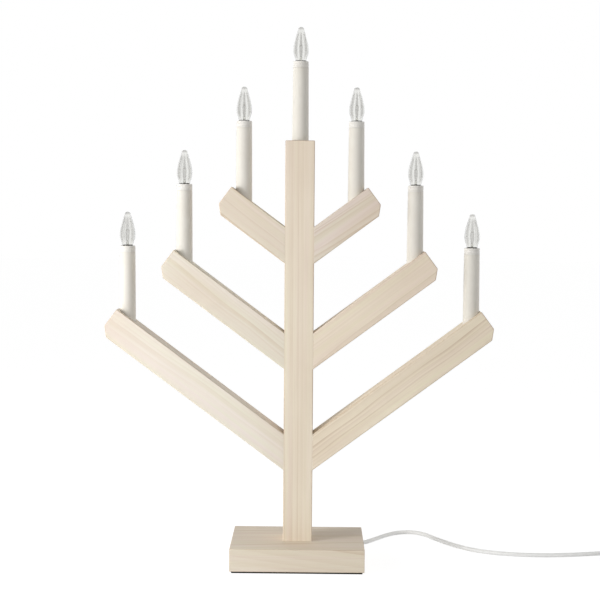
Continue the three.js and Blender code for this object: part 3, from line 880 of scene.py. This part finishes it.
def make_arm(side, level, hand, material):
    length, height = arm_facts(level)
    name = f"arm_{level}_{hand}"
    board = box_piece(f"{name}_board", (-STOCK, -HALF, -HALF), (length, HALF, HALF))

    def lower_end(first, second):
        middle = (first + second) / 2
        return abs(middle.x - length) < NEAR and abs(middle.z + HALF) < NEAR

    def end_corners(first, second):
        middle = (first + second) / 2
        across = abs(first.y - second.y) > HALF
        return across and middle.x > length - ARM_CHAMFER - NEAR and middle.z < HALF - NEAR

    bevel_edges(board, lower_end, ARM_CHAMFER, 1)
    bevel_edges(board, end_corners, ARM_CORNER, 4)
    eased(board, EASED)
    if side < 0:
        board.scale.x = -1
    board.rotation_euler = (0, -side * SLOPE, 0)
    moved(board, (side * HALF, 0, height))
    edit_all()
    bpy.ops.mesh.normals_make_consistent(inside=False)
    bpy.ops.mesh.bisect(
        plane_co=(side * (HALF + JOINT_SEAM), 0, 0), plane_no=(side, 0, 0),
        use_fill=True, clear_inner=True)
    end_edit()
    place = candle_place(f"{level}_{hand}")
    cross = height + (abs(place.x) - HALF) * math.tan(SLOPE)
    cutters = candle_cutters(place, place.z + 2 * STOCK, cross)
    cut_by(board, cutters + [groove_cutter(side, level, abs(place.x))])
    along = Vector((side * math.cos(SLOPE), 0, math.sin(SLOPE)))
    above = Vector((-side * math.sin(SLOPE), 0, math.cos(SLOPE)))
    flat = (along, above, Vector((0, 1, 0)), (along - above).normalized())
    return finished_board(board, flat, material, name)


def ease_post(board, top):
    """Eases the post's edges but for the stretches where an arm is joined to it."""
    reach = HALF / math.cos(SLOPE)
    heights = [arm_facts(level)[1] for level in LEVELS]
    joints = [(height - reach, height + reach) for height in heights]
    only(board)
    for height in (end for joint in joints for end in joint):
        edit_all()
        bpy.ops.mesh.bisect(plane_co=(0, 0, height), plane_no=(0, 0, 1))
    end_edit()

    def free(first, second):
        height = (first.z + second.z) / 2
        if upright(first, second):
            return all(not low < height < high for low, high in joints)
        return height > top - NEAR

    bevel_edges(board, free, EASED, 4)


def make_post(material):
    low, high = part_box("post")
    board = box_piece("post_board", (-HALF, -HALF, low.z), (HALF, HALF, high.z))
    ease_post(board, high.z)
    cross = high.z - TOP_CROSS_BELOW
    cutters = candle_cutters(candle_place("top"), high.z + MM, cross)
    cutters.append(box_piece("kerf", (-POST_GROOVE / 2, HALF - GROOVE_DEPTH, 0),
                             (POST_GROOVE / 2, STOCK, cross)))
    for level in LEVELS:
        for side in (-1, 1):
            cutters.append(groove_cutter(side, level, STOCK))
    cut_by(board, cutters)
    return finished_board(board, Matrix.Identity(3), material, "post")


def make_base(material):
    low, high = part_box("base_block")
    board = box_piece("base_board", low, high)
    bevel_edges(board, upright, BASE_CORNER, 5)
    eased(board, BASE_EASED)
    roof = low.z + HOLLOW_DEPTH
    cut_by(board, [
        box_piece("hollow", (-HOLLOW_HALF, HOLLOW_FRONT, 0), (HOLLOW_HALF, WALL_INSIDE, roof)),
        rod_piece("wire_hole", WIRE_HOLE, (0, WIRE_DEPTH, roof - MM), (0, WIRE_DEPTH, high.z + MM)),
        rod_piece("cord_hole", CORD_HOLE, (0, WALL_INSIDE - MM, relief_axis),
                  (0, WALL_OUTSIDE + 10 * MM, relief_axis)),
    ])
    return finished_board(board, Matrix.Identity(3), material, "base_block")


def make_pad():
    pad = box_piece("felt_sheet", *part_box("base_pad"))
    bevel_edges(pad, upright, PAD_CORNER, 5)
    eased(pad, PAD_EASED, 2)
    return dressed(smooth(pad, 40), FELT_AND_SHADE, replaces=("base_pad",))


# Each board's turn about Y, where its stretch of timber starts, its pith with ring width and
# lean, the colour of its glaze, how strong its grain is, and where its darker casts lie
BOARDS = {
    "post": (math.pi / 2, (0.31, 0, 0), (-0.012, 0.052, 0.0052, 0.02), (247, 243, 226), 0.95, 1.7),
    "base": (0, (-0.9, 0.03, 0), (0.02, 0.075, 0.0044, -0.12), (227, 225, 213), 1.3, 5.1),
    "lower_left": (-SLOPE, (0.2, 0.05, 0), (0.05, 0.06, 0.005, 0.05), (233, 233, 226), 0.45, 1.7),
    "lower_right": (SLOPE, (0.6, 0.01, 0), (0.04, 0.03, 0.0042, 0.04), (255, 251, 224), 1.25, 1.7),
    "middle_left": (-SLOPE, (1.3, 0.04, 0), (0.05, -0.05, 0.005, 0.05), (231, 238, 228), 0.85, 1.7),
    "middle_right": (SLOPE, (1.7, 0.02, 0), (0.06, 0.05, 0.0054, 0.03), (246, 236, 218), 1, 10.2),
    "upper_left": (-SLOPE, (2.3, 0.01, 0), (0.05, 0.04, 0.0046, 0.05), (224, 220, 208), 1, 3.4),
    "upper_right": (SLOPE, (2.9, 0.02, 0), (0.035, -0.03, 0.004, 0.05), (219, 213, 205), 1, 5.1),
}


def board_material(board):
    return whitewashed_pine(f"pine_{board}", *BOARDS[board])


make_pad()
make_base(board_material("base"))
make_post(board_material("post"))
for hand, side in (("left", -1), ("right", 1)):
    for level in LEVELS:
        make_arm(side, level, hand, board_material(f"{level}_{hand}"))


# Candles, modelled once with their foot at the origin


def sleeve_model():
    rim = CANDLE_HEIGHT - COLLAR_HEIGHT - SEAM
    taper = SLEEVE_FOOT - SLEEVE_TOP
    wall = [(SLEEVE_FOOT - taper * share, rim * share)
            for share in (0.02, 0.1, 0.25, 0.5, 0.75, 0.97)]
    return turned("sleeve_model", [
        (SPIGOT_BORE, -5 * MM), (SPIGOT - 0.4 * MM, -5 * MM), (SPIGOT, -4.4 * MM), (SPIGOT, 0),
        (SLEEVE_FOOT - 0.5 * MM, 0), (SLEEVE_FOOT, 0.5 * MM), *wall,
        (SLEEVE_TOP - 0.02 * MM, rim - 0.06 * MM), (SLEEVE_TOP - 0.1 * MM, rim),
        (SLEEVE_TOP - SLEEVE_WALL, rim), (SLEEVE_FOOT - SLEEVE_WALL, 2 * MM), (SPIGOT_BORE, 2 * MM),
    ], 64, closed=True)


def socket_model():
    """The lamp holder: a collar with two fine rings turned into it, above a body that goes
    down inside the sleeve, with a plain bore for the cap."""
    top = CANDLE_HEIGHT
    foot = top - COLLAR_HEIGHT
    body = SLEEVE_TOP - SLEEVE_WALL - 0.4 * MM
    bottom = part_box("socket_top")[0].z - candle_place("top").z
    floor = bottom + 6 * MM
    bore = CAP_RADIUS + GAP
    rings = []
    for height in (top - below for below in RING_HEIGHTS):
        rings += [(SLEEVE_TOP, height - 0.3 * MM), (SLEEVE_TOP - RING_DEPTH, height - 0.12 * MM),
                  (SLEEVE_TOP - RING_DEPTH, height + 0.12 * MM), (SLEEVE_TOP, height + 0.3 * MM)]
    shoulder = arc((SLEEVE_TOP - RIM_EASED, top - RIM_EASED), RIM_EASED, 0, 90, 5)
    return turned("socket_model", [
        (0, bottom), (body - 0.4 * MM, bottom), (body, bottom + 0.4 * MM), (body, foot),
        (SLEEVE_TOP - 0.08 * MM, foot), (SLEEVE_TOP, foot + 0.08 * MM), *rings, *shoulder,
        (bore + 0.15 * MM, top), (bore, top - 0.15 * MM), (bore, floor + 0.3 * MM),
        (bore - 0.3 * MM, floor), (0, floor),
    ], 64)


# Half outline of the flame from the collar up: height and radius in millimetres, on a bulb
# 16 mm wide
FLAME = [(0, 5.5), (1.5, 5.75), (3.5, 6.35), (5.5, 7.2), (7.5, 7.8), (9.5, 8), (11.5, 8),
         (13.5, 7.85), (15.5, 7.5), (17.5, 7.05), (19.5, 6.6), (21.5, 6), (23.5, 5.4),
         (25.3, 4.8), (27, 4.25), (28.6, 3.6), (29.6, 3.3), (30.6, 3.1), (31.6, 2.7),
         (32.4, 1.9), (32.8, 1)]


def flute_depth(height):
    """How far in the flutes reach at a height over the collar: none at the foot and the dome."""
    rise = clamped((height - FLUTE_START) / FLUTE_RISE)
    fall = clamped((FLUTE_END - height) / FLUTE_FALL)
    return FLUTE_DEPTH * rise * rise * (3 - 2 * rise) * fall


def glass_model():
    """The bulb, blown in a mould, its flutes softer inside. Its flutes and tip are given values for
    painted shade, which its glass draws darker."""
    foot = CANDLE_HEIGHT + GAP
    wide = BULB_RADIUS / 8
    outside = [(radius * wide, foot + height * MM) for height, radius in FLAME]
    inside = [(max(radius - GLASS_WALL, 0.2 * MM), height) for radius, height in outside[1:-2]
              if height < foot + HOLLOW_TOP]
    piece = turned("glass_model", [
        (BULB_NECK - GLASS_WALL, CANDLE_HEIGHT - 6 * MM), (BULB_NECK, CANDLE_HEIGHT - 6 * MM),
        (BULB_NECK, foot - 0.6 * MM), (BULB_NECK + 0.5 * MM, foot - 0.1 * MM), *outside,
        (0, foot + BULB_HEIGHT), (0, foot + HOLLOW_TOP), *reversed(inside),
        (5.3 * MM - GLASS_WALL, foot + 0.5 * MM), (BULB_NECK - GLASS_WALL, foot - 0.1 * MM),
    ], 128, closed=True)
    painted_shades = []
    for vertex in piece.data.vertices:
        height = vertex.co.z - foot
        radius = math.hypot(vertex.co.x, vertex.co.y)
        tip = clamped((height - SHADED_TIP) / SHADED_TIP_FADE)
        if radius < SAME:
            painted_shades.append(tip)
            continue
        turn = math.atan2(vertex.co.y, vertex.co.x)
        groove = ((1 + math.cos(FLUTES * turn)) / 2) ** 1.6
        depth = flute_depth(height)
        scale = 1 - depth * groove / radius
        vertex.co.x *= scale
        vertex.co.y *= scale
        # The grooves and the tip get painted shade
        painted_shades.append(max(groove * depth / FLUTE_DEPTH, tip))
    mark_points(piece, "painted_shade", painted_shades)
    return piece


def cap_model():
    """The screw cap: a rolled thread in thin metal, a rounded shoulder and a flared rim."""
    high = CANDLE_HEIGHT - 1 * MM
    low = high - CAP_LENGTH
    rows = 64
    side = [(CAP_RADIUS, low + 1 * MM + (CAP_LENGTH - 1.4 * MM) * row / rows)
            for row in range(rows + 1)]
    shoulder = arc((CAP_RADIUS - 1 * MM, low + 1 * MM), 1 * MM, -80, -5, 6)
    piece = turned("cap_model", [
        (0, low), (2.6 * MM, low), *shoulder, *side, (CAP_RADIUS, high),
        (CAP_RADIUS - 0.35 * MM, high), (CAP_RADIUS - 0.75 * MM, high - 0.6 * MM),
        (CAP_RADIUS - 1.2 * MM, low + 1.6 * MM), (0, low + 1.6 * MM)], 64)
    start, end = low + 1.6 * MM, high - 1.2 * MM
    for vertex in piece.data.vertices:
        radius = math.hypot(vertex.co.x, vertex.co.y)
        if radius < CAP_RADIUS - 0.05 * MM:
            continue
        turn = math.atan2(vertex.co.y, vertex.co.x)
        wave = math.cos(2 * math.pi * (vertex.co.z - low) / THREAD_PITCH - turn)
        fade = clamped((vertex.co.z - start) / MM) * clamped((end - vertex.co.z) / MM)
        scale = 1 - THREAD_DEPTH * fade * (1 - wave) / 2 / radius
        vertex.co.x *= scale
        vertex.co.y *= scale
    return piece


def tip_model():
    """The contact: black glass under the cap with a drop of solder in it."""
    low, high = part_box("bulb_tip_top")
    foot = low.z - candle_place("top").z
    top = high.z - candle_place("top").z
    drop = arc((0, foot + 1.3 * MM), 1.3 * MM, -80, -10, 6)
    return turned("tip_model", [
        (0, foot), *drop, (1.9 * MM, foot + 1.1 * MM), (3 * MM, foot + 1.35 * MM),
        (3.2 * MM, foot + 1.6 * MM), (3.2 * MM, top), (0, top)])


def stem_model():
    """The glass stem that carries the lead wires, with its exhaust tube and its pinch, which is
    drawn darker as painted shade.
    """
    foot = CANDLE_HEIGHT - 5.5 * MM
    outline = [(0, 0), (3.1, 0), (2.9, 1.5), (1.7, 4), (1.25, 6), (1.15, 8.6), (0.9, 9.8),
               (0.45, 10.3), (0, 10.4)]
    piece = turned(
        "stem_model", [(radius * MM, foot + rise * MM) for radius, rise in outline], 32)
    mark_points(piece, "painted_shade", [
        clamped((CANDLE_HEIGHT + PINCH_TOP - vertex.co.z) / PINCH_FADE)
        for vertex in piece.data.vertices])
    return piece


def filament_model():
    """Two lead wires up from the stem and the fine coil between them."""
    foot = CANDLE_HEIGHT + 2 * MM
    parts = []
    for side in (-1, 1):
        lead = [Vector((side * out * MM, 0, foot + rise * MM))
                for out, rise in ((0.6, 0), (0.8, 4), (1.3, 8), (1.7, 12))]
        parts.append(tube("lead", smooth_through(lead, 4), LEAD_RADIUS, 2))
    coil = []
    steps = FILAMENT_TURNS * FILAMENT_STEPS
    for step in range(steps + 1):
        share = step / steps
        angle = share * FILAMENT_TURNS * 2 * math.pi
        bow = 1.6 * math.sin(math.pi * share)
        coil.append((
            (-1.7 + 3.4 * share) * MM,
            FILAMENT_COIL * math.cos(angle) * MM,
            foot + (12 + bow + FILAMENT_COIL * math.sin(angle)) * MM,
        ))
    parts.append(tube("coil", coil, FILAMENT_RADIUS, 1))
    return joined("filament_model", [as_mesh(part) for part in parts])


MODELS = [
    # piece, model, material, slot, body, node it replaces, smoothing angle
    ("candle_sleeve", sleeve_model(), CANDLE_WHITE, "ivory_sleeve", "root", "sleeve", 30),
    ("lamp_holder", socket_model(), HOLDER_WHITE, "white_plastic", "root", "socket", 25),
    ("flame_bulb", glass_model(), BULB_GLASS, "clear_glass", "bulb_{}", "bulb_glass", 50),
    ("screw_cap", cap_model(), CAP_METAL, "cap_brass", "bulb_{}", "bulb_cap", 50),
    ("contact", tip_model(), SOLDER, "tip_solder", "bulb_lift_{}", "bulb_tip", 40),
    ("glass_stem", stem_model(), STEM_GLASS, "clear_glass", "bulb_{}", None, 50),
    ("filament", filament_model(), LEAD_WIRE, "tip_solder", "bulb_{}", None, 50),
]

for piece_name, model, material, slot, body, node, angle in MODELS:
    smooth(model, angle)
    for candle in CANDLES:
        piece = copied(model, f"{piece_name}_{candle}", candle_place(candle))
        replaced = (f"{node}_{candle}",) if node else ()
        dressed(piece, material, body.format(candle), replaced)
    bpy.data.objects.remove(model)


# Wires: one from the terminals up to the lower candle, one from each candle to the next and
# one to the candle on the post, on each side


def rounded(corners, radius, steps=6):
    """The way through these corners with each one rounded to a bend."""
    way = [corners[0]]
    for before, corner, after in zip(corners, corners[1:], corners[2:]):
        back, on = (before - corner).normalized(), (after - corner).normalized()
        half_turn = (math.pi - back.angle(on)) / 2
        start = corner + back * radius * math.tan(half_turn)
        centre = corner + (back + on).normalized() * radius / math.cos(half_turn)
        axis = on.cross(back)
        for step in range(steps + 1):
            turn = Matrix.Rotation(2 * half_turn * step / steps, 3, axis)
            way.append(centre + turn @ (start - centre))
    return way + [corners[-1]]


def way_out(side, level, hand, across):
    """Corners of the way from the post's groove out to a candle's holder."""
    _, height = arm_facts(level)
    place = candle_place(f"{level}_{hand}")
    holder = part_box(f"socket_{level}_{hand}")[0].z - GAP

    def on_arm(out):
        rise = (out - HALF) * math.tan(SLOPE) + across / math.cos(SLOPE)
        return Vector((side * out, WIRE_DEPTH, height + rise))

    elbow = on_arm(abs(place.x) - math.copysign(RISER_HALF, across))
    return [on_arm(TRUNK_HALF), elbow, Vector((elbow.x, 0, elbow.z)), Vector((elbow.x, 0, holder))]


def make_wires(side, hand):
    low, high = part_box("terminal_block")
    terminal = (low.z + high.z) / 2
    way = [Vector((side * TERMINAL_HALF, TERMINAL_FRONT, terminal)),
           Vector((side * TRUNK_HALF, WIRE_DEPTH, terminal))]
    wires = []
    for level in LEVELS:
        wires.append(way + way_out(side, level, hand, -PAIR_HALF))
        way = way_out(side, level, hand, PAIR_HALF)[::-1]
    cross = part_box("post")[1].z - TOP_CROSS_BELOW
    trunk = side * TRUNK_HALF
    wires.append(way + [Vector((trunk, WIRE_DEPTH, cross)), Vector((trunk, 0, cross)),
                        Vector((trunk, 0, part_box("socket_top")[0].z - GAP))])
    parts = [as_mesh(tube("wire_part", rounded(corners, WIRE_BEND), WIRE_RADIUS))
             for corners in wires]
    piece = smooth(joined(f"wires_{hand}", parts), 40)
    return dressed(piece, WIRE_WHITE, replaces=(f"loom_{hand}",))


make_wires(-1, "left")
make_wires(1, "right")


# What stays as it is under or inside the wood

PLAIN_NODES = [
    ("dowel_", BEECH),
    ("base_screw_", ZINC),
    ("terminal_block", HOLDER_WHITE),
    ("cord_cores", WIRE_WHITE),
]
for node_name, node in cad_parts.items():
    for start, material in PLAIN_NODES:
        if node_name.startswith(start):
            coated(node, material)


# Floor, background and lights

WHITE = (1, 1, 1, 1)
FLOOR_SIZE = 12
FLOOR_SEEN = (0.3, 0.3, 0.3, 1)
FLOOR_BOUNCE = (0.85, 0.85, 0.85, 1)
FLOOR_GLOW = 0.87
HORIZON_LIGHT = 0.42
SIDE_LIGHT = 1.23
SIDE_RISE = 0.3
ZENITH_LIGHT = 0.12
ZENITH_RISE = 0.75
LAMP_AIM = (0, 0, 0.22)
KEY_PLACE = (-0.883, -0.469, 0.35)
KEY_SIZE = 0.5
KEY_POWER = 7.85
FILL_PLACE = (0.75, 0.25, 0.25)
FILL_SIZE = 0.6
FILL_POWER = 0.73


def seen_rays(shader):
    """1 for what the camera sees, directly or in metal and glass."""
    light_path = shader.node("ShaderNodeLightPath").outputs
    seen = shader.plus(light_path["Is Camera Ray"], light_path["Is Glossy Ray"])
    return shader.math("ADD", seen, light_path["Is Transmission Ray"], clamp=True)


def make_floor():
    deselect()
    bpy.ops.mesh.primitive_plane_add(size=FLOOR_SIZE, location=(0, 2, 0))
    floor = named(bpy.context.object, "floor")
    settle(floor)
    material, shader, surface, _ = new_material("floor")
    seen = seen_rays(shader)
    shader.feed(
        surface, Base_Color=shader.mixed(seen, FLOOR_BOUNCE, FLOOR_SEEN), Roughness=0.9,
        Specular_IOR_Level=0.0, Emission_Color=WHITE,
        Emission_Strength=shader.times(seen, FLOOR_GLOW))
    coated(floor, material)


def make_world():
    """White where it is seen. Its light is strongest a little above the horizon and weak
    from overhead."""
    world = bpy.data.worlds.new("world")
    bpy.context.scene.world = world
    world.use_nodes = True
    shader = Shader(world.node_tree)
    background = world.node_tree.nodes["Background"]
    way = shader.node("ShaderNodeTexCoord").outputs["Generated"]
    rise = shader.node("ShaderNodeSeparateXYZ", Vector=way).outputs[2]
    light = shader.minus(
        shader.between(rise, 0, SIDE_RISE, HORIZON_LIGHT, SIDE_LIGHT),
        shader.between(rise, SIDE_RISE, ZENITH_RISE, 0, SIDE_LIGHT - ZENITH_LIGHT),
    )
    seen = seen_rays(shader)
    unseen = shader.minus(1.0, seen)
    shader.feed(background, Color=WHITE, Strength=shader.plus(seen, shader.times(unseen, light)))


def make_lamp(name, place, size, power):
    """A round soft light that faces the middle of the candlestick."""
    data = bpy.data.lights.new(name, "AREA")
    data.shape = "DISK"
    data.size = size
    data.energy = power
    lamp = new_object(name, data)
    lamp.location = Vector(place)
    lamp.rotation_mode = "QUATERNION"
    lamp.rotation_quaternion = (lamp.location - Vector(LAMP_AIM)).to_track_quat("Z", "Y")
    lamp.visible_camera = False
    lamp.visible_glossy = False
    lamp.visible_transmission = False


make_floor()
make_world()
make_lamp("key", KEY_PLACE, KEY_SIZE, KEY_POWER)
make_lamp("fill", FILL_PLACE, FILL_SIZE, FILL_POWER)
bpy.context.scene.view_settings.view_transform = "Standard"
